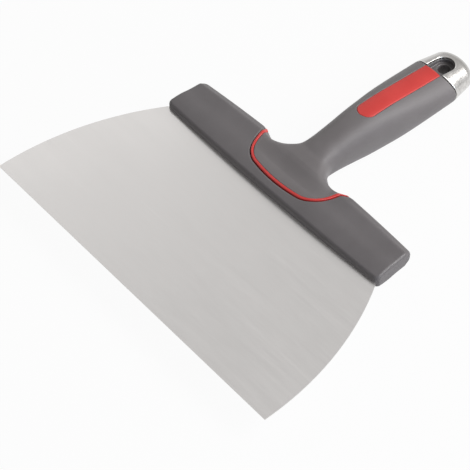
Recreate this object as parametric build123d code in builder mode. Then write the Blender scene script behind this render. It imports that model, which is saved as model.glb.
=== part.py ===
from build123d import *
import math
import os

# Drywall taping knife, millimetres.
# X runs along the working edge, +Y from that edge to the handle's end, +Z up.
# The origin is the middle of the working edge, on the blade's mid-plane.
# The knife is the same above and below that plane, apart from the tang on the blade's upper face.

# ---- blade ----
WORKING_WIDTH = 240.0        # length of the straight working edge
BLADE_THICKNESS = 0.6
BLADE_REACH = 108.0          # working edge to where the sides enter the crossbar
BLADE_REAR_WIDTH = 185.0     # width there
BLADE_SIDE_BULGE = 7.8       # how far each side bows outwards
BLADE_SEAT = 20.0            # how far the blade reaches into the crossbar
BLADE_TUCK = 4.0             # the hidden corners step in by this
ANCHOR_HOLE_DIAMETER = 7.0   # the moulding runs through these
ANCHOR_HOLE_PITCH = 17.0
ANCHOR_HOLES_PER_SIDE = 3
ANCHOR_HOLE_START = 42.0     # centre line to the first hole
ANCHOR_HOLE_SETBACK = 8.0    # hole centres to the blade's hidden rear edge

# ---- crossbar ----
BAR_DEPTH = 35.2             # along the centre line
BAR_FRONT_BOW = 2.0          # the front face bows towards the working edge
BAR_REAR_BOW = 4.2           # the rear edge bows the other way
BAR_OVERHANG = 2.0           # past the blade's side, at the front face
BAR_END_TAPER = 8.0          # degrees that each end leans in towards the rear
BAR_CORNER_RADIUS = 5.0
BAR_FRONT_HEIGHT = 5.4       # half thickness at the front face
BAR_CROWN_HEIGHT = 7.0       # half thickness at the crown and at the ridge
BAR_CROWN_SHARE = 0.4        # crown's place between the front face and the ridge
BAR_VALLEY_DROP = 0.35       # the hollow between crown and ridge
BAR_REAR_HEIGHT = 4.4        # half thickness at the rear edge
BAR_RIDGE_SETBACK = 6.5      # ridge to rear edge
BAR_END_HEIGHT_SHARE = 0.82  # half thickness at the ends against the middle
BAR_EDGE_RADIUS = 1.8
BAR_PLAN_SLACK = 0.3         # the end trimming starts this far outside the front and rear faces
BAR_PLAN_CLEAR = 4.0         # how far that trimming stays clear of those faces elsewhere

# ---- handle ----
# A station's squareness is 2 for an ellipse and more for a rounder rectangle.
ROOT_STATIONS = (             # behind the crossbar's front, half width, half thickness, squareness
    (3.0, 40.0, 7.3, 8.0),
    (12.0, 40.0, 7.4, 8.0),
    (21.0, 40.0, 7.5, 7.0),
    (29.0, 37.0, 7.8, 5.0),
    (35.0, 29.0, 8.8, 3.6),
    (41.0, 16.2, 10.2, 2.6),
)
NECK_Y = 48.0                # crossbar's front to the narrowest section
GRIP_STATIONS = (            # share of GRIP_LENGTH behind the neck, half width and thickness, squareness
    (0.00, 12.6, 11.8, 2.3),
    (0.08, 12.8, 13.0, 2.3),
    (0.17, 13.4, 14.2, 2.3),
    (0.28, 14.2, 15.3, 2.4),
    (0.41, 15.3, 15.8, 2.4),
    (0.54, 16.5, 15.3, 2.4),
    (0.68, 17.4, 14.3, 2.3),
    (0.84, 18.1, 13.3, 2.1),
    (1.00, 18.3, 12.4, 2.0),
    (1.16, 18.0, 11.5, 2.0),
)
GRIP_END_STATION = -2        # the last station lies inside the cap and only steers the skin
SECTION_POINTS = 32          # on the curve round each section
GRIP_LENGTH = 95.0           # narrowest section to the grip's rear edge, at the sides
GRIP_WALL = 3.0              # soft grip over the core
GRIP_EDGE_DIP = 3.7          # the grip's rear edge lies this much further forward on the faces

# ---- finger rests, one each side of the neck ----
REST_RADIUS = 9.2
REST_OFFSET = 25.0           # centre line to the rest's axis
REST_SETBACK = 41.0          # crossbar's front to the rest's axis
REST_LIP = 7.5               # how far the rounded lip spreads
REST_LIP_HEIGHT = 8.0        # half height over which it does

# ---- end cap ----
CAP_LENGTH = 22.5            # grip's rear edge, at the sides, to the very end
CAP_WALL = 1.8
CAP_BEND_HALF_THICKNESS = 10.7  # where the rounded end starts
CAP_END_RADIUS = 8.2
CAP_OVERLAP = 12.0           # how far the cap's own shape starts inside the grip
CAP_JOINT_GAP = 0.35         # the dark line between the grip and the cap

# ---- hang hole and its windows ----
WINDOW_WIDTH = 13.0
WINDOW_LENGTH = 17.0         # panel's rear end to the window's round end
WEB_THICKNESS = 12.0
HANG_HOLE_DIAMETER = 8.0

# ---- red trim ----
ACCENT_HALF_WIDTH = 33.5
ACCENT_SETBACK = 7.8         # crossbar's front to the middle of the accent's band
ACCENT_CORNER_RADIUS = 13.0
ACCENT_FLARE = 2.2           # how much wider the accent is at the rear than at its corners
ACCENT_FRONT_BOW = 1.6
ACCENT_WIDTH = 1.5
ACCENT_PROUD = 0.45
ACCENT_DEPTH = 2.4
PANEL_LENGTH = 63.0
PANEL_THICKNESS = 1.6

# ---- tang ----
TANG_THICKNESS = 2.5
TANG_WIDTH = 11.0
TANG_HEAD_WIDTH = 56.0
TANG_HEAD_LENGTH = 13.0
TANG_LENGTH = 118.0
TANG_SETBACK = 8.0           # crossbar's front to the tang's front edge
RIVET_DIAMETER = 5.0
RIVET_HEAD_DIAMETER = 8.0
RIVET_HEAD_HEIGHT = 1.2
RIVET_PITCH = 36.0

SEAT_CLEARANCE = 0.05        # between mouldings and what they hold

# ---- worked out ----
HALF_EDGE = WORKING_WIDTH / 2
HALF_REAR = BLADE_REAR_WIDTH / 2
BAR_FRONT_Y = BLADE_REACH - BAR_FRONT_BOW
BAR_REAR_Y = BAR_FRONT_Y + BAR_DEPTH
BAR_HALF_FRONT = HALF_REAR + BAR_OVERHANG
BAR_TAPER_SLOPE = math.tan(math.radians(BAR_END_TAPER))
BLADE_END_Y = BLADE_REACH + BLADE_SEAT
NECK_STATION_Y = BAR_FRONT_Y + NECK_Y
GRIP_END_Y = NECK_STATION_Y + GRIP_LENGTH
GRIP_FACE_END_Y = GRIP_END_Y - GRIP_EDGE_DIP
CAP_END_Y = GRIP_END_Y + CAP_LENGTH
WINDOW_END_Y = GRIP_FACE_END_Y + WINDOW_LENGTH
HANG_HOLE_Y = WINDOW_END_Y - WINDOW_WIDTH / 2
HIDDEN_HOLES_Y = BLADE_END_Y - ANCHOR_HOLE_SETBACK
RIVET_PLACES = ((-RIVET_PITCH / 2, HIDDEN_HOLES_Y), (RIVET_PITCH / 2, HIDDEN_HOLES_Y))
THROUGH = 60.0               # half height of cutters that go right through

os.makedirs("parts", exist_ok=True)


def section_points(half_width, half_thickness, squareness):
    """Points round a rounded-rectangle section, which is an ellipse at a squareness of 2."""
    points = []
    for step in range(SECTION_POINTS):
        angle = 2 * math.pi * step / SECTION_POINTS
        c, s = math.cos(angle), math.sin(angle)
        x = half_width * math.copysign(abs(c) ** (2 / squareness), c)
        z = half_thickness * math.copysign(abs(s) ** (2 / squareness), s)
        points.append((x, z))
    return points


def loft_stations(stations):
    """A smooth solid through (y, half width, half thickness, squareness) stations."""
    with BuildPart() as blank:
        for y, half_width, half_thickness, squareness in stations:
            with BuildSketch(Plane(origin=(0, y, 0), x_dir=(1, 0, 0), z_dir=(0, -1, 0))):
                with BuildLine():
                    Spline(*section_points(half_width, half_thickness, squareness), periodic=True)
                make_face()
        loft()
    return blank.part


def handle_blank(inset):
    """The handle's skin from inside the crossbar to the grip's end, moved inwards by an inset."""
    stations = [(BAR_FRONT_Y + back, w - inset, t - inset, n) for back, w, t, n in ROOT_STATIONS]
    for share, w, t, n in GRIP_STATIONS:
        stations.append((NECK_STATION_Y + share * GRIP_LENGTH, w - inset, t - inset, n))
    return loft_stations(stations)


def cap_blank(inset):
    """The end cap's skin, moved inwards by an inset: a turned thimble, drawn out sideways to an oval."""
    end_w, end_t = GRIP_STATIONS[GRIP_END_STATION][1:3]
    bend_y = CAP_END_Y - CAP_END_RADIUS
    slope = (end_t - CAP_BEND_HALF_THICKNESS) / (bend_y - GRIP_END_Y)
    front_y = GRIP_END_Y - CAP_OVERLAP
    bend_r = CAP_BEND_HALF_THICKNESS - inset
    radius = CAP_END_RADIUS - inset
    front_r = end_t + slope * CAP_OVERLAP - inset
    with BuildPart() as thimble:
        with BuildSketch(Plane.XY):
            with BuildLine():
                Polyline((0, bend_y + radius), (0, front_y), (front_r, front_y), (bend_r, bend_y))
                RadiusArc((bend_r, bend_y), (bend_r - radius, bend_y + radius), -radius)
                Line((bend_r - radius, bend_y + radius), (0, bend_y + radius))
            make_face()
        revolve(axis=Axis.Y)
    stretch = (end_w - inset) / (end_t - inset)
    return scale(thimble.part, by=(stretch, 1, 1))


def behind_grip(offset):
    """Everything behind the grip's rear edge moved back by an offset; the edge dips forward on both faces."""
    edge_t = GRIP_STATIONS[GRIP_END_STATION][2]
    dip_radius = (edge_t ** 2 + GRIP_EDGE_DIP ** 2) / (2 * GRIP_EDGE_DIP)
    far_y = CAP_END_Y + CAP_LENGTH
    with BuildPart() as region:
        with BuildSketch(Plane.YZ.offset(-THROUGH)):
            with BuildLine():
                top = (GRIP_FACE_END_Y + offset, edge_t)
                bottom = (GRIP_FACE_END_Y + offset, -edge_t)
                RadiusArc(bottom, top, -dip_radius)
                Polyline(top, (top[0], THROUGH), (far_y, THROUGH))
                Polyline((far_y, THROUGH), (far_y, -THROUGH), (top[0], -THROUGH), bottom)
            make_face()
        extrude(amount=2 * THROUGH)
    return region.part


def finger_rests(grow):
    """The two hourglass-shaped hollows beside the neck; grow widens them all round."""
    lip_r = REST_RADIUS + REST_LIP + grow
    lip_top = (lip_r, REST_LIP_HEIGHT)
    lip_bottom = (lip_r, -REST_LIP_HEIGHT)
    with BuildPart() as rest:
        with BuildSketch(Plane.XZ):
            with BuildLine():
                SagittaArc(lip_bottom, lip_top, REST_LIP)
                Polyline(lip_top, (lip_r, THROUGH), (0, THROUGH))
                Polyline((0, THROUGH), (0, -THROUGH), (lip_r, -THROUGH), lip_bottom)
            make_face()
        revolve(axis=Axis.Z)
    y = BAR_FRONT_Y + REST_SETBACK
    return Pos(REST_OFFSET, y, 0) * rest.part + Pos(-REST_OFFSET, y, 0) * rest.part


def bar_section(front_y, rear_y, share):
    """The crossbar's closed section, as edges in the open BuildLine; local axes are y and z."""
    front_h = BAR_FRONT_HEIGHT * share
    crown_h = BAR_CROWN_HEIGHT * share
    rear_h = BAR_REAR_HEIGHT * share
    r = BAR_EDGE_RADIUS
    ridge_y = rear_y - BAR_RIDGE_SETBACK
    crown_y = front_y + BAR_CROWN_SHARE * (ridge_y - front_y)
    valley_y = (crown_y + ridge_y) / 2
    for side in (1, -1):
        Line((front_y, 0), (front_y, side * (front_h - r)))
        RadiusArc((front_y, side * (front_h - r)), (front_y + r, side * front_h), side * r)
        Spline(
            (front_y + r, side * front_h),
            (crown_y, side * crown_h),
            (valley_y, side * (crown_h - BAR_VALLEY_DROP)),
            (ridge_y, side * crown_h),
        )
        Line((ridge_y, side * crown_h), (rear_y - r, side * rear_h))
        RadiusArc((rear_y - r, side * rear_h), (rear_y, side * (rear_h - r)), side * r)
        Line((rear_y, side * (rear_h - r)), (rear_y, 0))


def bar_blank(proud):
    """The crossbar, grown by proud on its top, bottom and rear faces."""
    end_x = BAR_HALF_FRONT + BAR_EDGE_RADIUS
    extra_share = proud / BAR_CROWN_HEIGHT
    middle = (BAR_FRONT_Y, BAR_REAR_Y + proud, 1.0 + extra_share)
    end_rear_y = BAR_REAR_Y - BAR_REAR_BOW + proud
    end = (BAR_FRONT_Y + BAR_FRONT_BOW, end_rear_y, BAR_END_HEIGHT_SHARE + extra_share)
    with BuildPart() as bar:
        for x, (front_y, rear_y, share) in ((-end_x, end), (0, middle), (end_x, end)):
            with BuildSketch(Plane.YZ.offset(x)):
                with BuildLine():
                    bar_section(front_y, rear_y, share)
                make_face()
        loft()
        with BuildSketch(Plane.XY.offset(-THROUGH)):
            with BuildLine():
                Polyline(*bar_corners(), close=True)
            make_face()
            end_corners = vertices().filter_by(lambda corner: abs(corner.X) > ACCENT_HALF_WIDTH)
            fillet(end_corners, BAR_CORNER_RADIUS)
        extrude(amount=2 * THROUGH, mode=Mode.INTERSECT)
    return bar.part


def bar_corners():
    """A six-sided plan that trims the crossbar's ends and corners, and is clear of it elsewhere."""
    front_y = BAR_FRONT_Y + BAR_FRONT_BOW - BAR_PLAN_SLACK
    rear_y = BAR_REAR_Y - BAR_REAR_BOW + BAR_PLAN_SLACK
    rear_x = BAR_HALF_FRONT - (rear_y - front_y) * BAR_TAPER_SLOPE
    return (
        (-BAR_HALF_FRONT, front_y),
        (0, BAR_FRONT_Y - BAR_FRONT_BOW - BAR_PLAN_CLEAR),
        (BAR_HALF_FRONT, front_y),
        (rear_x, rear_y),
        (0, BAR_REAR_Y + BAR_REAR_BOW + BAR_PLAN_CLEAR),
        (-rear_x, rear_y),
    )


def accent_outline(grow, far_y):
    """The shield-shaped plan inside the accent, grown by grow and run on to far_y, as edges."""
    front_y = BAR_FRONT_Y + ACCENT_SETBACK - grow
    side_x = ACCENT_HALF_WIDTH + grow
    corner_x = side_x - ACCENT_FLARE
    r = ACCENT_CORNER_RADIUS + grow
    corner_y = front_y + ACCENT_FRONT_BOW + r
    rear_y = BAR_REAR_Y - BAR_RIDGE_SETBACK
    inner_x = corner_x - r
    SagittaArc((-inner_x, corner_y - r), (inner_x, corner_y - r), -ACCENT_FRONT_BOW)
    RadiusArc((inner_x, corner_y - r), (corner_x, corner_y), -r)
    Polyline((corner_x, corner_y), (side_x, rear_y), (side_x, far_y))
    Line((side_x, far_y), (-side_x, far_y))
    Polyline((-side_x, far_y), (-side_x, rear_y), (-corner_x, corner_y))
    RadiusArc((-corner_x, corner_y), (-inner_x, corner_y - r), -r)


def accent_prism(grow):
    """The region inside the accent's plan, right through the knife."""
    with BuildPart() as prism:
        with BuildSketch(Plane.XY.offset(-THROUGH)):
            with BuildLine():
                accent_outline(grow, CAP_END_Y + CAP_LENGTH)
            make_face()
        extrude(amount=2 * THROUGH)
    return prism.part


def window_prism(front_y, bottom, height):
    """The window's plan as a prism: a slot along the handle from front_y to its round rear end."""
    half = WINDOW_WIDTH / 2
    bend_y = WINDOW_END_Y - half
    with BuildPart() as prism:
        with BuildSketch(Plane.XY.offset(bottom)):
            with BuildLine():
                Polyline((-half, bend_y), (-half, front_y), (half, front_y), (half, bend_y))
                RadiusArc((half, bend_y), (-half, bend_y), -half)
            make_face()
        extrude(amount=height)
    return prism.part


def panel_prism(bottom, height):
    """The red panel's plan: a round tip towards the blade and a square rear end."""
    half = WINDOW_WIDTH / 2
    tip_y = GRIP_FACE_END_Y - PANEL_LENGTH + WINDOW_WIDTH / 2   # where the round tip starts
    with BuildPart() as prism:
        with BuildSketch(Plane.XY.offset(bottom)):
            with BuildLine():
                Polyline((half, tip_y), (half, GRIP_FACE_END_Y))
                Line((half, GRIP_FACE_END_Y), (-half, GRIP_FACE_END_Y))
                Line((-half, GRIP_FACE_END_Y), (-half, tip_y))
                RadiusArc((-half, tip_y), (half, tip_y), -half)
            make_face()
        extrude(amount=height)
    return prism.part


# ---- blanks that several pieces share ----
grip_skin = handle_blank(0)
core_skin = handle_blank(GRIP_WALL)
bar_skin = bar_blank(0)
rests = finger_rests(0)
core_rests = finger_rests(GRIP_WALL)
grip_cavity = handle_blank(GRIP_WALL - SEAT_CLEARANCE)
cavity_rests = finger_rests(GRIP_WALL - SEAT_CLEARANCE)
cap_region = behind_grip(CAP_JOINT_GAP)
grip_back_region = behind_grip(0)
cap_skin = cap_blank(0)
cap_cavity = cap_blank(CAP_WALL)
cap_core = cap_blank(CAP_WALL + SEAT_CLEARANCE)

# ---- blade: a flat spring-steel sheet with holes along its hidden rear edge ----
with BuildPart() as blade:
    seat_x = BAR_HALF_FRONT - BLADE_SEAT * BAR_TAPER_SLOPE - BLADE_TUCK
    tuck_x = HALF_REAR - BLADE_TUCK
    tuck_y = BLADE_REACH + BLADE_TUCK
    with BuildSketch(Plane.XY.offset(-BLADE_THICKNESS / 2)):
        with BuildLine():
            Line((-HALF_EDGE, 0), (HALF_EDGE, 0))
            SagittaArc((HALF_EDGE, 0), (HALF_REAR, BLADE_REACH), -BLADE_SIDE_BULGE)
            Polyline((HALF_REAR, BLADE_REACH), (tuck_x, tuck_y), (seat_x, BLADE_END_Y))
            Line((seat_x, BLADE_END_Y), (-seat_x, BLADE_END_Y))
            Polyline((-seat_x, BLADE_END_Y), (-tuck_x, tuck_y), (-HALF_REAR, BLADE_REACH))
            SagittaArc((-HALF_REAR, BLADE_REACH), (-HALF_EDGE, 0), -BLADE_SIDE_BULGE)
        make_face()
        hole_xs = [ANCHOR_HOLE_START + step * ANCHOR_HOLE_PITCH for step in range(ANCHOR_HOLES_PER_SIDE)]
        with Locations(*[(side * x, HIDDEN_HOLES_Y) for x in hole_xs for side in (1, -1)]):
            Circle(ANCHOR_HOLE_DIAMETER / 2, mode=Mode.SUBTRACT)
        with Locations(*RIVET_PLACES):
            Circle(RIVET_DIAMETER / 2, mode=Mode.SUBTRACT)
    extrude(amount=BLADE_THICKNESS)

# ---- tang: a T-shaped steel bar riveted on the blade's upper face, inside the handle ----
tang_front_y = BAR_FRONT_Y + TANG_SETBACK
with BuildPart() as tang:
    with BuildSketch(Plane.XY.offset(BLADE_THICKNESS / 2)):
        with Locations((0, tang_front_y)):
            Rectangle(TANG_HEAD_WIDTH, TANG_HEAD_LENGTH, align=(Align.CENTER, Align.MIN))
            Rectangle(TANG_WIDTH, TANG_LENGTH, align=(Align.CENTER, Align.MIN))
        with Locations(*RIVET_PLACES):
            Circle(RIVET_DIAMETER / 2, mode=Mode.SUBTRACT)
    extrude(amount=TANG_THICKNESS)

# ---- two rivets through tang and blade ----
with BuildPart() as tang_rivets:
    shank_bottom = -BLADE_THICKNESS / 2
    shank_top = BLADE_THICKNESS / 2 + TANG_THICKNESS
    with BuildSketch(Plane.XY.offset(shank_bottom)):
        with Locations(*RIVET_PLACES):
            Circle(RIVET_DIAMETER / 2)
    extrude(amount=shank_top - shank_bottom)
    for head_base, rise in ((shank_top, RIVET_HEAD_HEIGHT), (shank_bottom, -RIVET_HEAD_HEIGHT)):
        with BuildSketch(Plane.XY.offset(head_base)):
            with Locations(*RIVET_PLACES):
                Circle(RIVET_HEAD_DIAMETER / 2)
        extrude(amount=rise)

# ---- accent: a closed red band round the grip's root, proud of both faces ----
with BuildPart() as accent_ring:
    add(handle_blank(-ACCENT_PROUD))
    add(bar_blank(ACCENT_PROUD))
    add(accent_prism(ACCENT_WIDTH / 2), mode=Mode.INTERSECT)
    add(accent_prism(-ACCENT_WIDTH / 2), mode=Mode.SUBTRACT)
    add(handle_blank(ACCENT_DEPTH), mode=Mode.SUBTRACT)
    add(finger_rests(-ACCENT_PROUD), mode=Mode.SUBTRACT)

# ---- frame: crossbar, core inside the grip and inner body of the cap, one rigid moulding ----
with BuildPart() as frame:
    add(bar_skin)
    add(rests, mode=Mode.SUBTRACT)
    add(accent_prism(ACCENT_WIDTH / 2), mode=Mode.SUBTRACT)
    add(core_skin - core_rests - grip_back_region)
    add(cap_core & grip_back_region)
    for bottom in (WEB_THICKNESS / 2, -THROUGH):
        pocket = window_prism(GRIP_FACE_END_Y, bottom, THROUGH - WEB_THICKNESS / 2)
        add(pocket, mode=Mode.SUBTRACT)
    with Locations((0, HANG_HOLE_Y, 0)):
        Cylinder(HANG_HOLE_DIAMETER / 2, 2 * THROUGH, mode=Mode.SUBTRACT)
    add(blade.part, mode=Mode.SUBTRACT)
    add(tang.part, mode=Mode.SUBTRACT)
    add(tang_rivets.part, mode=Mode.SUBTRACT)

# ---- label panels: bare red plates, one in each face of the grip ----
panel_floor = handle_blank(PANEL_THICKNESS)
with BuildPart() as label_panel_top:
    add(grip_skin)
    add(panel_prism(0, THROUGH), mode=Mode.INTERSECT)
    add(panel_floor, mode=Mode.SUBTRACT)
with BuildPart() as label_panel_under:
    add(mirror(label_panel_top.part, about=Plane.XY))

# ---- soft grip: a sleeve over the core, with a tongue on each face into the crossbar ----
with BuildPart() as soft_grip:
    add(grip_skin)
    add(bar_skin)
    add(accent_prism(-ACCENT_WIDTH / 2), mode=Mode.INTERSECT)
    add(rests, mode=Mode.SUBTRACT)
    add(grip_back_region, mode=Mode.SUBTRACT)
    add(grip_cavity - cavity_rests, mode=Mode.SUBTRACT)
    for bottom in (0, -THROUGH):
        add(panel_prism(bottom, THROUGH) - panel_floor, mode=Mode.SUBTRACT)

# ---- end cap: a cast metal thimble with a window in each face ----
with BuildPart() as end_cap:
    add(cap_skin)
    add(cap_region, mode=Mode.INTERSECT)
    add(cap_cavity, mode=Mode.SUBTRACT)
    add(window_prism(GRIP_FACE_END_Y - CAP_LENGTH, -THROUGH, 2 * THROUGH), mode=Mode.SUBTRACT)

pieces = {
    "blade": blade,
    "tang": tang,
    "tang_rivets": tang_rivets,
    "accent_ring": accent_ring,
    "frame": frame,
    "label_panel_top": label_panel_top,
    "label_panel_under": label_panel_under,
    "soft_grip": soft_grip,
    "end_cap": end_cap,
}
for name, piece in pieces.items():
    piece.part.label = name
    export_step(piece.part, f"parts/{name}.step")
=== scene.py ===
import math

import bpy
import numpy as np
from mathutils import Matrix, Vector


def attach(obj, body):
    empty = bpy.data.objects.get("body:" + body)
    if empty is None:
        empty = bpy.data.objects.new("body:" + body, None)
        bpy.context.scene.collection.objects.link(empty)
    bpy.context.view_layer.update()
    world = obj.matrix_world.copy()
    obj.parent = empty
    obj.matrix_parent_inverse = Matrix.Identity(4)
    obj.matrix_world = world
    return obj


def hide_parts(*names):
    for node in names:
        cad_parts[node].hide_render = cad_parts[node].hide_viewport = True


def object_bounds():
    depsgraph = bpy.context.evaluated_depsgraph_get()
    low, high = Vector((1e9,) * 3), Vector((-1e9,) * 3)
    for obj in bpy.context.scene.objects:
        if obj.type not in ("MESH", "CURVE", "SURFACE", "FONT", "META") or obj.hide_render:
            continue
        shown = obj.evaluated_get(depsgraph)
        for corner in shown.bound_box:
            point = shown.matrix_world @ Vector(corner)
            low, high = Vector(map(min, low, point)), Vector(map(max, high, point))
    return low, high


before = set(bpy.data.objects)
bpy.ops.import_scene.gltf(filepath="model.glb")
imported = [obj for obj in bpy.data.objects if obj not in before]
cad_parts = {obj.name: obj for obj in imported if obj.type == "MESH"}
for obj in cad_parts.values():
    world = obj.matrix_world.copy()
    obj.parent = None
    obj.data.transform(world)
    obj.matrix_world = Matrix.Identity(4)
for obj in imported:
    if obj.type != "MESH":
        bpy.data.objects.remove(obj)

cad_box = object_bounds()

# A wide taping knife lying level: its blade ends at y 0 and its handle runs back along +Y.
# The moulded pieces are surfaces of distance fields, which are written in millimetres.
# A field is negative inside its solid. Meshes are turned into metres as they are made.
MM = 0.001

# ---- crossbar ----
BAR_FRONT_Y = 106.0
BAR_DEPTH = 35.2
BAR_FRONT_BOW = 2.0
BAR_REAR_BOW = 3.0
BAR_HALF_FRONT = 93.1
BAR_TAPER_SLOPE = math.tan(math.radians(4.0))   # its ends draw in towards the handle
BAR_RIDGE = 28.7             # front face to the ridge, along the centre line
BAR_RIDGE_HEIGHT = 7.0
BAR_CROWN = (                # distance back from the front face, half height
    (0.0, 5.1),
    (2.0, 5.6),
    (11.5, 7.0),
    (20.1, 6.65),
    (BAR_RIDGE, BAR_RIDGE_HEIGHT),
    (BAR_DEPTH, 7.3),
)
BAR_REAR_SLOPE = 0.553       # fall of the facet behind the ridge
BAR_END_HEIGHT_SHARE = 0.82
BAR_FRONT_ROUND = 1.7
BAR_REAR_ROUND = 1.7
BAR_RIDGE_ROUND = 0.6
BAR_END_ROUND = 1.8
BAR_END_BLEND_X = (70.0, 90.0)   # over which the front rounding becomes the end one
BAR_CORNER_ROUND = 3.5
BAR_REAR_CORNER_ROUND = 3.0

# ---- handle: place along the knife, half width, half thickness, squareness ----
HANDLE_STATIONS = (
    (119.0, 25.0, 4.2, 3.5),
    (125.0, 24.0, 5.4, 3.5),
    (131.0, 22.0, 6.8, 3.2),
    (137.0, 18.5, 8.3, 2.8),
    (143.0, 15.3, 9.7, 2.5),
    (148.5, 13.3, 10.8, 2.4),
    (154.0, 12.6, 11.8, 2.3),
    (161.6, 12.8, 13.0, 2.3),
    (170.2, 13.4, 14.2, 2.3),
    (180.6, 14.2, 15.3, 2.4),
    (193.0, 15.3, 15.7, 2.4),
    (205.3, 16.5, 15.3, 2.4),
    (218.6, 17.4, 14.3, 2.3),
    (233.8, 18.1, 13.3, 2.1),
    (249.0, 18.3, 12.4, 2.0),
    (264.2, 18.0, 11.5, 2.0),
)
NECK_BLEND = 9.0
NECK_BLEND_Y = (117.0, 134.0)   # over which the blend grows to its full radius
NECK_BLEND_LEAST = 0.02         # share of it at the front
REST_RADIUS = 9.2
REST_X = 25.0
REST_Y = 147.0
REST_LIP = 7.5
GRIP_WALL = 3.0
GRIP_END_Y = 249.0           # grip's rear edge at the sides
GRIP_EDGE_DIP = 3.7          # further forward on the faces
GRIP_END_HALF = (18.3, 12.4)
GRIP_EDGE_ROUND = 0.5
GRIP_FRONT_ROUND = 0.3
POCKET_ROUND = 0.25
CORE_OVERRUN = 1.0           # how far the core runs past the grip into the cap

# ---- red trim ----
ACCENT_FRONT_Y = 113.4
ACCENT_FRONT_BOW = 1.7
ACCENT_CORNER_ROUND = 13.0
ACCENT_HALF_WIDTH = 31.7
ACCENT_FLARE = 0.012         # how fast its sides spread behind ACCENT_FLARE_Y
ACCENT_FLARE_Y = 122.0
ACCENT_WIDTH = 1.9
ACCENT_PROUD = 0.45
ACCENT_DEPTH = 2.4
ACCENT_ROUND = 0.6
TRIM_GAP = 0.12
GROOVE_GAP = 0.55            # between the accent and the crossbar
GROOVE_ROUND = 0.6
PANEL_HALF_WIDTH = 6.45
PANEL_LENGTH = 63.0
PANEL_THICKNESS = 1.6
PANEL_SUNK = 0.05            # below the skin of the grip
PANEL_ROUND = 0.4

# ---- end cap ----
CAP_END_Y = 271.5
CAP_BEND_Y = 263.3
CAP_BEND_HALF = 10.7
CAP_END_ROUND = 8.2
CAP_WALL = 1.8
CAP_JOINT_GAP = 0.5
CAP_FRONT_ROUND = 0.6
WINDOW_HALF_WIDTH = 6.5
WINDOW_LENGTH = 17.0
WINDOW_ROUND = 1.0
WINDOW_INSET = 0.2           # the hollow under the window is narrower by this on each side
WEB_HALF_THICKNESS = 6.0
HANG_HOLE_RADIUS = 4.0
HANG_HOLE_ROUND = 0.6
GRIP_FACE_END_Y = GRIP_END_Y - GRIP_EDGE_DIP
WINDOW_BEND_Y = GRIP_FACE_END_Y + WINDOW_LENGTH - WINDOW_HALF_WIDTH

# ---- meshing ----
BLOCK = 8                    # cells along one side of a block
BLOCK_SLACK = 1.5            # blocks nearer than this many sides are worked out cell by cell
CHUNK = 400000               # points worked out at a time
SLOPE_STEP = 0.05
SETTLE_ROUNDS = 3
SETTLE_REACH = 0.5           # furthest move of a round, in cells
LEAST_SLOPE = 0.1            # a squared slope under this counts as this
EDGE_SPAN = 0.5              # share of the probe depth over which the edge mask rises


# ============================ fields ============================
def ramp(at, span, least=0.0):
    """Rises from least to 1 over a span."""
    return np.clip((at - span[0]) / (span[1] - span[0]), least, 1)


def smooth_curve(places, values, at):
    """A cubic through the places and values, held level beyond its ends."""
    places, values = np.array(places, float), np.array(values, float)
    slopes = np.gradient(values, places)
    at = np.clip(at, places[0], places[-1])
    i = np.clip(np.searchsorted(places, at) - 1, 0, len(places) - 2)
    width = places[i + 1] - places[i]
    t = (at - places[i]) / width
    rise = t * t * (3 - 2 * t)
    start = t * (1 - t) ** 2 * width * slopes[i]
    stop = t * t * (t - 1) * width * slopes[i + 1]
    return values[i] + (values[i + 1] - values[i]) * rise + start + stop


def round_and(a, b, radius):
    """What lies in both fields, with the edge between them rounded."""
    past = np.hypot(np.maximum(a + radius, 0), np.maximum(b + radius, 0))
    return np.minimum(np.maximum(a, b), -radius) + past


def round_or(a, b, radius):
    """What lies in either field, with the corner between them filled."""
    return -round_and(-a, -b, radius)


def oval(x, z, half_width, half_thickness, squareness):
    """Distance to a rounded-rectangle section."""
    u, w = np.abs(x) / half_width, np.abs(z) / half_thickness
    size = np.maximum((u ** squareness + w ** squareness) ** (1 / squareness), 1e-6)
    power = squareness - 1
    slope = np.hypot((u / size) ** power / half_width, (w / size) ** power / half_thickness)
    return (size - 1) / slope


def handle_field(x, y, z):
    """The handle alone, cut off square at its first station."""
    places = [station[0] for station in HANDLE_STATIONS]
    size = [smooth_curve(places, [station[k] for station in HANDLE_STATIONS], y) for k in (1, 2, 3)]
    return np.maximum(oval(x, z, *size), places[0] - y)


def bar_field(x, y, z):
    """The crossbar alone: bowed front and rear, crowned faces and a facet behind the ridge."""
    across = (x / BAR_HALF_FRONT) ** 2
    front = BAR_FRONT_Y + BAR_FRONT_BOW * across
    rear = BAR_FRONT_Y + BAR_DEPTH - BAR_REAR_BOW * across
    back = (y - front) / (rear - front) * BAR_DEPTH
    share = 1 - (1 - BAR_END_HEIGHT_SHARE) * across
    places, heights = zip(*BAR_CROWN)
    crown = np.abs(z) - smooth_curve(places, heights, back) * share
    fall = np.abs(z) - BAR_RIDGE_HEIGHT * share + BAR_REAR_SLOPE * (back - BAR_RIDGE)
    faces = round_and(crown, fall / math.hypot(1, BAR_REAR_SLOPE), BAR_RIDGE_ROUND)
    end = np.abs(x) - BAR_HALF_FRONT + (y - BAR_FRONT_Y - BAR_FRONT_BOW) * BAR_TAPER_SLOPE
    plan = round_and(round_and(front - y, end, BAR_CORNER_ROUND), y - rear, BAR_REAR_ROUND)
    plan = np.maximum(plan, round_and(y - rear, end, BAR_REAR_CORNER_ROUND))
    blunt = BAR_FRONT_ROUND + (BAR_END_ROUND - BAR_FRONT_ROUND) * ramp(np.abs(x), BAR_END_BLEND_X)
    return round_and(plan, faces, blunt)


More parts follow.
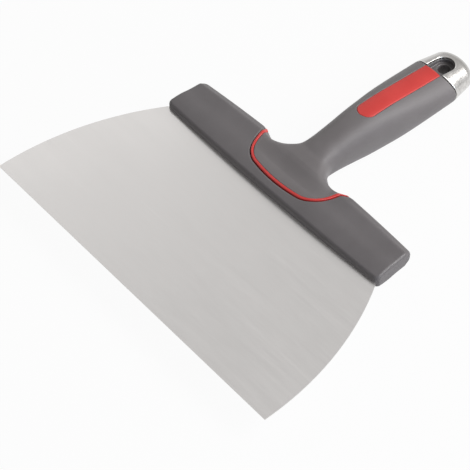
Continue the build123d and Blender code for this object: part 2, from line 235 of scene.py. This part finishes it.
def body_field(x, y, z):
    """Crossbar and handle together, with the two finger rests scooped out."""
    fillet = NECK_BLEND * ramp(y, NECK_BLEND_Y, NECK_BLEND_LEAST)
    whole = round_or(bar_field(x, y, z), handle_field(x, y, z), fillet)
    rest = np.hypot(np.abs(x) - REST_X, y - REST_Y) - REST_RADIUS
    return round_and(whole, -rest, REST_LIP)


def shield(x, y):
    """Plan of the region inside the accent."""
    front = ACCENT_FRONT_Y + ACCENT_FRONT_BOW * (x / (ACCENT_HALF_WIDTH - ACCENT_CORNER_ROUND)) ** 2
    side = ACCENT_HALF_WIDTH + ACCENT_FLARE * np.maximum(y - ACCENT_FLARE_Y, 0) ** 2
    return round_and(front - y, np.abs(x) - side, ACCENT_CORNER_ROUND)


def panel_plan(x, y):
    """Plan of a red panel: a round tip towards the blade and a square rear end."""
    tip_y = GRIP_FACE_END_Y - PANEL_LENGTH + PANEL_HALF_WIDTH
    return np.maximum(np.hypot(x, np.minimum(y - tip_y, 0)) - PANEL_HALF_WIDTH, y - GRIP_FACE_END_Y)


def window_plan(x, y, half_width=WINDOW_HALF_WIDTH):
    """Plan of the cap's window: a slot with a round rear end, open towards the panel."""
    return np.hypot(x, np.maximum(y - WINDOW_BEND_Y, 0)) - half_width


def behind_grip(y, z):
    """Negative behind the grip's rear edge, which dips forward on both faces."""
    return GRIP_END_Y - GRIP_EDGE_DIP * (z / GRIP_END_HALF[1]) ** 2 - y


def thimble(x, y, z, inset):
    """The cap's skin moved inwards: a turned thimble, drawn out sideways."""
    stretch = (GRIP_END_HALF[0] - inset) / (GRIP_END_HALF[1] - inset)
    fall = (GRIP_END_HALF[1] - CAP_BEND_HALF) / (CAP_BEND_Y - GRIP_END_Y)
    side = np.hypot(x / stretch, z) - (CAP_BEND_HALF - inset) + fall * (y - CAP_BEND_Y)
    return round_and(side, y - CAP_END_Y + inset, CAP_END_ROUND - inset)


def accent_field(x, y, z):
    """The red bead along the edge of the shield, a little proud of the skin."""
    body = body_field(x, y, z)
    bead = round_and(np.abs(shield(x, y)) - ACCENT_WIDTH / 2, body - ACCENT_PROUD, ACCENT_ROUND)
    return np.maximum(bead, -body - ACCENT_DEPTH)


def grip_field(x, y, z):
    """The rubber sleeve behind the accent, with a pocket for each red panel."""
    body = body_field(x, y, z)
    front = shield(x, y) + ACCENT_WIDTH / 2 + TRIM_GAP
    sleeve = round_and(body, front, GRIP_FRONT_ROUND)
    sleeve = round_and(sleeve, -behind_grip(y, z), GRIP_EDGE_ROUND)
    pocket = np.maximum(panel_plan(x, y), -body - PANEL_THICKNESS)
    sleeve = round_and(sleeve, -pocket, POCKET_ROUND)
    return np.maximum(sleeve, -body - GRIP_WALL)


def frame_field(x, y, z):
    """Hard plastic: crossbar outside the shield, core in the grip and what fills the cap."""
    body = body_field(x, y, z)
    wings = round_and(body, ACCENT_WIDTH / 2 + GROOVE_GAP - shield(x, y), GROOVE_ROUND)
    core = np.maximum(body + GRIP_WALL, -behind_grip(y, z) - CORE_OVERRUN)
    inner = np.maximum(thimble(x, y, z, CAP_WALL), behind_grip(y, z) + CAP_JOINT_GAP)
    hollow = window_plan(x, y, WINDOW_HALF_WIDTH - WINDOW_INSET)
    pocket = np.maximum(hollow, WEB_HALF_THICKNESS - np.abs(z))
    pocket = np.maximum(pocket, GRIP_FACE_END_Y - y)
    hole = np.hypot(x, y - WINDOW_BEND_Y) - HANG_HOLE_RADIUS
    inner = round_and(np.maximum(np.minimum(core, inner), -pocket), -hole, HANG_HOLE_ROUND)
    return np.minimum(wings, inner)


def panel_field(x, y, z):
    """The red panel on the upper face, a hair below the grip's skin."""
    body = body_field(x, y, z)
    plate = round_and(body + PANEL_SUNK, panel_plan(x, y) + TRIM_GAP, PANEL_ROUND)
    return np.maximum(np.maximum(plate, -body - PANEL_THICKNESS), -z)


def under_panel_field(x, y, z):
    return panel_field(x, y, -z)


def cap_field(x, y, z):
    """The metal shell over the rear end, with a window through both faces."""
    skin = round_and(thimble(x, y, z, 0), behind_grip(y, z) + CAP_JOINT_GAP, CAP_FRONT_ROUND)
    skin = round_and(skin, -window_plan(x, y), WINDOW_ROUND)
    return np.maximum(skin, -thimble(x, y, z, CAP_WALL))


# ============================ meshing ============================
def evaluate(field, points):
    """The field at each point, a chunk at a time."""
    values = np.empty(len(points), np.float32)
    for start in range(0, len(points), CHUNK):
        part = points[start:start + CHUNK]
        values[start:start + CHUNK] = field(part[:, 0], part[:, 1], part[:, 2])
    return values


def sample(field, low, high, step):
    """The field on a grid over a box, worked out only in blocks near the surface."""
    size = BLOCK * step
    blocks = np.ceil((high - low) / size).astype(int)
    centres = np.stack(np.meshgrid(*[np.arange(n) + 0.5 for n in blocks], indexing="ij"), -1)
    coarse = evaluate(field, (low + size * centres).reshape(-1, 3)).reshape(blocks)
    for axis in range(3):
        coarse = np.repeat(coarse, BLOCK, axis)
    near = np.nonzero(np.abs(coarse) < BLOCK_SLACK * size)
    coarse[near] = evaluate(field, low + step * np.stack(near, 1))
    return coarse


def corner_view(grid, corner):
    """The grid's values at one corner of every cell."""
    return grid[tuple(slice(c, n - 1 + c) for c, n in zip(corner, grid.shape))]


def surface_net(values, low, step):
    """One vertex in each cell that the surface crosses, and a quad round each crossed grid edge."""
    inside = values < 0
    corners = [(i, j, k) for i in (0, 1) for j in (0, 1) for k in (0, 1)]
    filled = sum(corner_view(inside, corner).astype(np.int8) for corner in corners)
    crossed = (filled > 0) & (filled < 8)
    index = np.full(crossed.shape, -1)
    index[crossed] = np.arange(crossed.sum())
    total, hits = np.zeros((crossed.sum(), 3)), np.zeros(crossed.sum())
    for corner in corners:
        for axis in range(3):
            if corner[axis]:
                continue
            far = tuple(1 if k == axis else c for k, c in enumerate(corner))
            a, b = corner_view(values, corner)[crossed], corner_view(values, far)[crossed]
            cut = (a < 0) != (b < 0)
            place = np.tile(np.array(corner, float), (len(a), 1))
            place[cut, axis] = a[cut] / (a[cut] - b[cut])
            total[cut] += place[cut]
            hits[cut] += 1
    verts = low + step * (np.stack(np.nonzero(crossed), 1) + total / hits[:, None])
    quads = []
    for axis in range(3):
        near = [slice(1, -1)] * 3
        far = [slice(1, -1)] * 3
        near[axis], far[axis] = slice(0, -1), slice(1, None)
        a, b = inside[tuple(near)], inside[tuple(far)]
        cells = np.stack(np.nonzero(a != b), 1)
        leaving = a[tuple(cells.T)]
        u, v = (axis + 1) % 3, (axis + 2) % 3
        cells[:, u] += 1
        cells[:, v] += 1
        ring = []
        for du, dv in ((1, 1), (0, 1), (0, 0), (1, 0)):
            cell = cells.copy()
            cell[:, u] -= du
            cell[:, v] -= dv
            ring.append(index[tuple(cell.T)])
        ring = np.stack(ring, 1)
        ring[~leaving] = ring[~leaving][:, ::-1]
        quads.append(ring)
    return verts, np.concatenate(quads)


def slope_of(field, verts):
    """The field's slope at each vertex."""
    slope = np.empty_like(verts)
    for axis in range(3):
        shift = np.zeros(3)
        shift[axis] = SLOPE_STEP
        slope[:, axis] = evaluate(field, verts + shift) - evaluate(field, verts - shift)
    return slope / (2 * SLOPE_STEP)


def settle(field, verts, step):
    """Moves each vertex onto the surface."""
    for _ in range(SETTLE_ROUNDS):
        slope = slope_of(field, verts)
        steepness = np.maximum((slope ** 2).sum(1), LEAST_SLOPE)[:, None]
        move = -evaluate(field, verts)[:, None] * slope / steepness
        length = np.linalg.norm(move, axis=1)[:, None]
        verts = verts + move * np.minimum(1, SETTLE_REACH * step / np.maximum(length, 1e-9))
    return verts


def mesh_of(name, field, low, high, step, probe):
    """The field's surface inside a box as an object; its edge mask rises to 1 along convex edges."""
    low, high = np.array(low, float), np.array(high, float)
    verts, quads = surface_net(sample(field, low, high, step), low, step)
    verts = settle(field, verts, step)
    slope = slope_of(field, verts)
    slope /= np.maximum(np.linalg.norm(slope, axis=1), 1e-6)[:, None]
    depth = evaluate(field, verts - probe * slope)
    mesh = bpy.data.meshes.new(name)
    mesh.from_pydata((verts * MM).tolist(), [], quads.tolist())
    mesh.polygons.foreach_set("use_smooth", np.ones(len(quads), bool))
    edge = mesh.attributes.new("edge", "FLOAT", "POINT")
    mask = np.clip((depth + probe) / (EDGE_SPAN * probe), 0, 1)
    edge.data.foreach_set("value", mask.astype(np.float32))
    piece = bpy.data.objects.new(name, mesh)
    bpy.context.collection.objects.link(piece)
    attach(piece, "root")
    return piece


# ============================ materials ============================
STEEL_METALNESS = 0.88       # under 1, so that the steel keeps some plain brightness
LINE_SHARE = 0.6             # depth of the fine grinding lines, as a share of the broad ones
RUBBED_METAL = (0.93, 0.92, 0.9)


class Shade:
    """A material's node tree, built one node at a time."""

    def __init__(self, name, **constants):
        self.material = bpy.data.materials.new(name)
        self.material.use_nodes = True
        self.tree = self.material.node_tree
        self.surface = self.tree.nodes["Principled BSDF"]
        for socket, value in constants.items():
            self.surface.inputs[socket.replace("_", " ")].default_value = value
        self.place = self.node("ShaderNodeTexCoord").outputs["Object"]

    def node(self, kind, links=(), **settings):
        made = self.tree.nodes.new(kind)
        for key, value in settings.items():
            if hasattr(made, key):
                setattr(made, key, value)
            else:
                made.inputs[key.replace("_", " ")].default_value = value
        for socket, source in dict(links).items():
            self.tree.links.new(source, made.inputs[socket])
        return made

    def noise(self, scale, detail=2.0, stretch=(1, 1, 1), rough=0.5):
        """Noise over the object; scale is in features per metre."""
        place = self.node("ShaderNodeMapping", {"Vector": self.place}, Scale=stretch).outputs[0]
        made = self.node("ShaderNodeTexNoise", {"Vector": place},
                         Scale=scale, Detail=detail, Roughness=rough)
        return made.outputs["Fac"]

    def spread(self, source, low, high, start=0.3, stop=0.7):
        """Maps a mask from start..stop to low..high."""
        made = self.node("ShaderNodeMapRange", {"Value": source})
        limits = {"From Min": start, "From Max": stop, "To Min": low, "To Max": high}
        for socket, value in limits.items():
            made.inputs[socket].default_value = value
        return made.outputs["Result"]

    def mix(self, mask, low, high):
        """Colour between low and high, each a colour or another output."""
        made = self.node("ShaderNodeMix", data_type="RGBA")
        self.tree.links.new(mask, made.inputs["Factor"])
        for socket, value in (("A", low), ("B", high)):
            entry = [i for i in made.inputs if i.name == socket and i.type == "RGBA"][0]
            if isinstance(value, tuple):
                entry.default_value = (*value, 1)
            else:
                self.tree.links.new(value, entry)
        return [o for o in made.outputs if o.type == "RGBA"][0]

    def math(self, kind, a, b):
        """Arithmetic on two values, each a number or another output."""
        made = self.node("ShaderNodeMath", operation=kind)
        for entry, value in zip(made.inputs, (a, b)):
            if isinstance(value, (int, float)):
                entry.default_value = value
            else:
                self.tree.links.new(value, entry)
        return made.outputs[0]

    def edge(self):
        """The mesh's edge mask; 0 on a mesh without one."""
        return self.node("ShaderNodeAttribute", attribute_name="edge").outputs["Fac"]

    def bump(self, *layers):
        """Stacks height layers, each (height output, depth in metres)."""
        normal = None
        for height, depth in layers:
            made = self.node("ShaderNodeBump", {"Height": height}, Distance=depth)
            if normal:
                self.tree.links.new(normal, made.inputs["Normal"])
            normal = made.outputs["Normal"]
        self.tree.links.new(normal, self.surface.inputs["Normal"])

    def drive(self, socket, source):
        """Feeds an output into a socket of the surface."""
        self.tree.links.new(source, self.surface.inputs[socket])


def darker(colour, share):
    return tuple(part + (0 - part) * share for part in colour)


def lighter(colour, share):
    return tuple(part + (1 - part) * share for part in colour)


def moulded(name, colour, rough, grain, grain_depth, wear, **constants):
    """Moulded plastic or rubber: mottled colour, fine grain and edges polished by handling."""
    shade = Shade(name, **constants)
    cloud = shade.noise(55, 3)
    speck = shade.noise(grain, 2, rough=0.65)
    base = shade.mix(shade.spread(cloud, 0, 1), darker(colour, 0.1), lighter(colour, 0.012))
    base = shade.mix(shade.spread(speck, 0, 0.25), base, lighter(colour, 0.05))
    rubbed = shade.math("MULTIPLY", shade.edge(), shade.spread(shade.noise(320, 3), 0.15, 0.75))
    base = shade.mix(rubbed, base, wear)
    shade.drive("Base Color", base)
    fine = shade.spread(speck, rough - 0.04, rough + 0.07)
    dull = shade.math("ADD", fine, shade.spread(cloud, -0.03, 0.03))
    shade.drive("Roughness", shade.math("SUBTRACT", dull, shade.math("MULTIPLY", rubbed, 0.12)))
    shade.bump((cloud, 0.00008), (speck, grain_depth))
    return shade.material


def ground_steel(name, colour, rough, stretch, depth):
    """Satin sheet steel: fine grinding lines, faint clouds and a few stray scratches."""
    shade = Shade(name, Metallic=STEEL_METALNESS)
    lines = shade.noise(900, 3, stretch, 0.7)
    broad = shade.noise(160, 2, stretch, 0.6)
    cloud = shade.noise(14, 3)
    base = shade.mix(shade.spread(lines, 0, 1), darker(colour, 0.012), lighter(colour, 0.015))
    base = shade.mix(shade.spread(cloud, 0, 0.5), base, darker(colour, 0.04))
    scratch = shade.spread(shade.noise(420, 1, (0.05, 1.6, 1)), 0, 0.35, 0.74, 0.8)
    base = shade.mix(scratch, base, lighter(colour, 0.1))
    shade.drive("Base Color", base)
    fine = shade.spread(lines, rough - 0.03, rough + 0.03)
    dull = shade.math("ADD", fine, shade.spread(broad, -0.03, 0.03))
    shade.drive("Roughness", shade.math("ADD", dull, shade.spread(cloud, -0.03, 0.03)))
    shade.bump((broad, depth), (lines, depth * LINE_SHARE))
    return shade.material


def cast_metal(name, colour):
    """Polished casting: slow ripples, fine polishing marks and rubbed edges."""
    shade = Shade(name, Metallic=1.0)
    ripple = shade.noise(130, 2)
    marks = shade.noise(1400, 3, (1, 0.12, 1), 0.7)
    base = shade.mix(shade.spread(marks, 0, 1), darker(colour, 0.06), lighter(colour, 0.06))
    rubbed = shade.math("MULTIPLY", shade.edge(), shade.spread(shade.noise(500, 2), 0.3, 1))
    shade.drive("Base Color", shade.mix(rubbed, base, RUBBED_METAL))
    dull = shade.math("ADD", shade.spread(marks, 0.17, 0.29), shade.spread(ripple, -0.04, 0.05))
    shade.drive("Roughness", shade.math("SUBTRACT", dull, shade.math("MULTIPLY", rubbed, 0.06)))
    shade.bump((ripple, 0.0001), (marks, 0.000012))
    return shade.material


def give(piece, material):
    """Makes this the piece's only material."""
    piece.data.materials.clear()
    piece.data.materials.append(material)


# ============================ the knife ============================
blade_steel = ground_steel("satin_blade_steel", (0.68, 0.66, 0.645), 0.34, (0.06, 1, 1), 0.000004)
hidden_steel = ground_steel("plain_steel", (0.55, 0.55, 0.56), 0.45, (1, 0.1, 1), 0.00002)
bar_plastic = moulded("bar_plastic", (0.133, 0.12, 0.122), 0.42, 2600, 0.00003, (0.2, 0.195, 0.195))
grip_rubber = moulded("grip_rubber", (0.158, 0.142, 0.142), 0.5, 3200, 0.00004, (0.19, 0.185, 0.185),
                      Sheen_Weight=0.12, Sheen_Roughness=0.5)
accent_red = moulded("accent_red", (0.66, 0.035, 0.03), 0.34, 2600, 0.00001, (0.75, 0.1, 0.08))
panel_red = moulded("panel_red", (0.68, 0.038, 0.03), 0.45, 2600, 0.00002, (0.78, 0.16, 0.13))
cap_metal = cast_metal("cap_metal", (0.5, 0.482, 0.465))

for node in ("blade", "tang", "tang_rivets"):
    give(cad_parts[node], blade_steel if node == "blade" else hidden_steel)

PIECES = (   # name, CAD node, slot, material, field, box corners, cell, probe depth
    ("bar_moulding", "frame", "frame_plastic", bar_plastic, frame_field,
     (-97, 104, -17), (97, 273, 17), 0.45, 1.0),
    ("grip_sleeve", "soft_grip", "grip_rubber", grip_rubber, grip_field,
     (-41, 111, -17.5), (41, 251, 17.5), 0.42, 0.8),
    ("accent_bead", "accent_ring", "accent_red", accent_red, accent_field,
     (-41, 110, -13), (41, 145, 13), 0.28, 0.4),
    ("panel_upper", "label_panel_top", "panel_red", panel_red, panel_field,
     (-8, 180, -1), (8, 248, 18), 0.32, 0.5),
    ("panel_lower", "label_panel_under", "panel_red", panel_red, under_panel_field,
     (-8, 180, -18), (8, 248, 1), 0.32, 0.5),
    ("cap_shell", "end_cap", "cap_metal", cap_metal, cap_field,
     (-20, 243, -14), (20, 273, 14), 0.3, 0.6),
)
for name, node, slot, material, field, low, high, cell, probe in PIECES:
    piece = mesh_of(name, field, low, high, cell, probe)
    give(piece, material)
    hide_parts(node)

# ============================ floor, light and camera ============================
FLOOR_SIZE = 6.0
FLOOR_GAP = 0.0002           # below the knife's lowest point
FLOOR_TONE = 0.7
FLOOR_GLOW = 0.95            # share of plain white that direct and mirrored views get
WORLD_LIGHT = 0.17
WORLD_SEEN = 0.7             # its strength in direct and mirrored views
CAMERA_AZIMUTH = math.radians(49.129)
CAMERA_ELEVATION = math.radians(49.976)
CAMERA_DISTANCE = 0.9754
CAMERA_TARGET = Vector((0.01308, 0.07163, 0))
CAMERA_LENS = 129.19
SENSOR = 36.0


def seen_directly(tree):
    """1 for camera, glossy and transmission rays."""
    path = tree.nodes.new("ShaderNodeLightPath")
    total = path.outputs["Is Camera Ray"]
    for ray in ("Is Glossy Ray", "Is Transmission Ray"):
        either = tree.nodes.new("ShaderNodeMath")
        either.operation = "MAXIMUM"
        tree.links.new(total, either.inputs[0])
        tree.links.new(path.outputs[ray], either.inputs[1])
        total = either.outputs[0]
    return total


def make_floor():
    """A matt floor that looks nearly white wherever it is seen directly or mirrored."""
    mesh = bpy.data.meshes.new("floor")
    half = FLOOR_SIZE / 2
    z = cad_box[0][2] - FLOOR_GAP
    corners = [(-half, -half, z), (half, -half, z), (half, half, z), (-half, half, z)]
    mesh.from_pydata(corners, [], [(0, 1, 2, 3)])
    floor = bpy.data.objects.new("floor", mesh)
    bpy.context.collection.objects.link(floor)
    material = bpy.data.materials.new("floor_white")
    material.use_nodes = True
    tree = material.node_tree
    tree.nodes.clear()
    matt = tree.nodes.new("ShaderNodeBsdfDiffuse")
    matt.inputs["Color"].default_value = (FLOOR_TONE, FLOOR_TONE, FLOOR_TONE, 1)
    glow = tree.nodes.new("ShaderNodeEmission")
    glow.inputs["Strength"].default_value = 1.0
    share = tree.nodes.new("ShaderNodeMath")
    share.operation = "MULTIPLY"
    share.inputs[1].default_value = FLOOR_GLOW
    tree.links.new(seen_directly(tree), share.inputs[0])
    mix = tree.nodes.new("ShaderNodeMixShader")
    tree.links.new(share.outputs[0], mix.inputs[0])
    tree.links.new(matt.outputs[0], mix.inputs[1])
    tree.links.new(glow.outputs[0], mix.inputs[2])
    out = tree.nodes.new("ShaderNodeOutputMaterial")
    tree.links.new(mix.outputs[0], out.inputs["Surface"])
    mesh.materials.append(material)


def make_world():
    """Even white surroundings, brighter where they are seen than where they only light."""
    world = bpy.data.worlds.new("studio")
    bpy.context.scene.world = world
    world.use_nodes = True
    tree = world.node_tree
    back = tree.nodes["Background"]
    back.inputs["Color"].default_value = (1, 1, 1, 1)
    strength = tree.nodes.new("ShaderNodeMapRange")
    tree.links.new(seen_directly(tree), strength.inputs["Value"])
    strength.inputs["To Min"].default_value = WORLD_LIGHT
    strength.inputs["To Max"].default_value = WORLD_SEEN
    tree.links.new(strength.outputs["Result"], back.inputs["Strength"])


def lamp(name, place, aim, size, power, colour=(1, 1, 1)):
    """A square softbox."""
    data = bpy.data.lights.new(name, "AREA")
    data.size = size
    data.energy = power
    data.color = colour
    made = bpy.data.objects.new(name, data)
    made.location = place
    made.rotation_euler = (Vector(aim) - Vector(place)).to_track_quat("-Z", "Y").to_euler()
    bpy.context.collection.objects.link(made)


make_floor()
make_world()
lamp("key", (1.0, 0.85, 0.85), (0, 0.13, 0), 0.8, 9, (0.96, 0.98, 1.0))
lamp("top", (0.75, 1.05, 1.2), (0, 0.1, 0), 1.0, 16, (1.0, 0.985, 0.97))
lamp("side", (1.3, -0.05, 0.45), (0, 0.15, 0), 0.5, 4.4, (0.72, 0.84, 1.0))
lamp("sheen", (-1.45, 0.7, 1.0), (0, 0.05, 0), 0.9, 2.2)

camera = bpy.data.objects.new("camera", bpy.data.cameras.new("camera"))
camera.data.lens = CAMERA_LENS
camera.data.sensor_width = SENSOR
camera.location = CAMERA_TARGET + CAMERA_DISTANCE * Vector((
    math.sin(CAMERA_AZIMUTH) * math.cos(CAMERA_ELEVATION),
    -math.cos(CAMERA_AZIMUTH) * math.cos(CAMERA_ELEVATION),
    math.sin(CAMERA_ELEVATION),
))
camera.rotation_euler = (CAMERA_TARGET - camera.location).to_track_quat("-Z", "Y").to_euler()
bpy.context.collection.objects.link(camera)
bpy.context.scene.camera = camera
bpy.context.scene.view_settings.view_transform = "Standard"
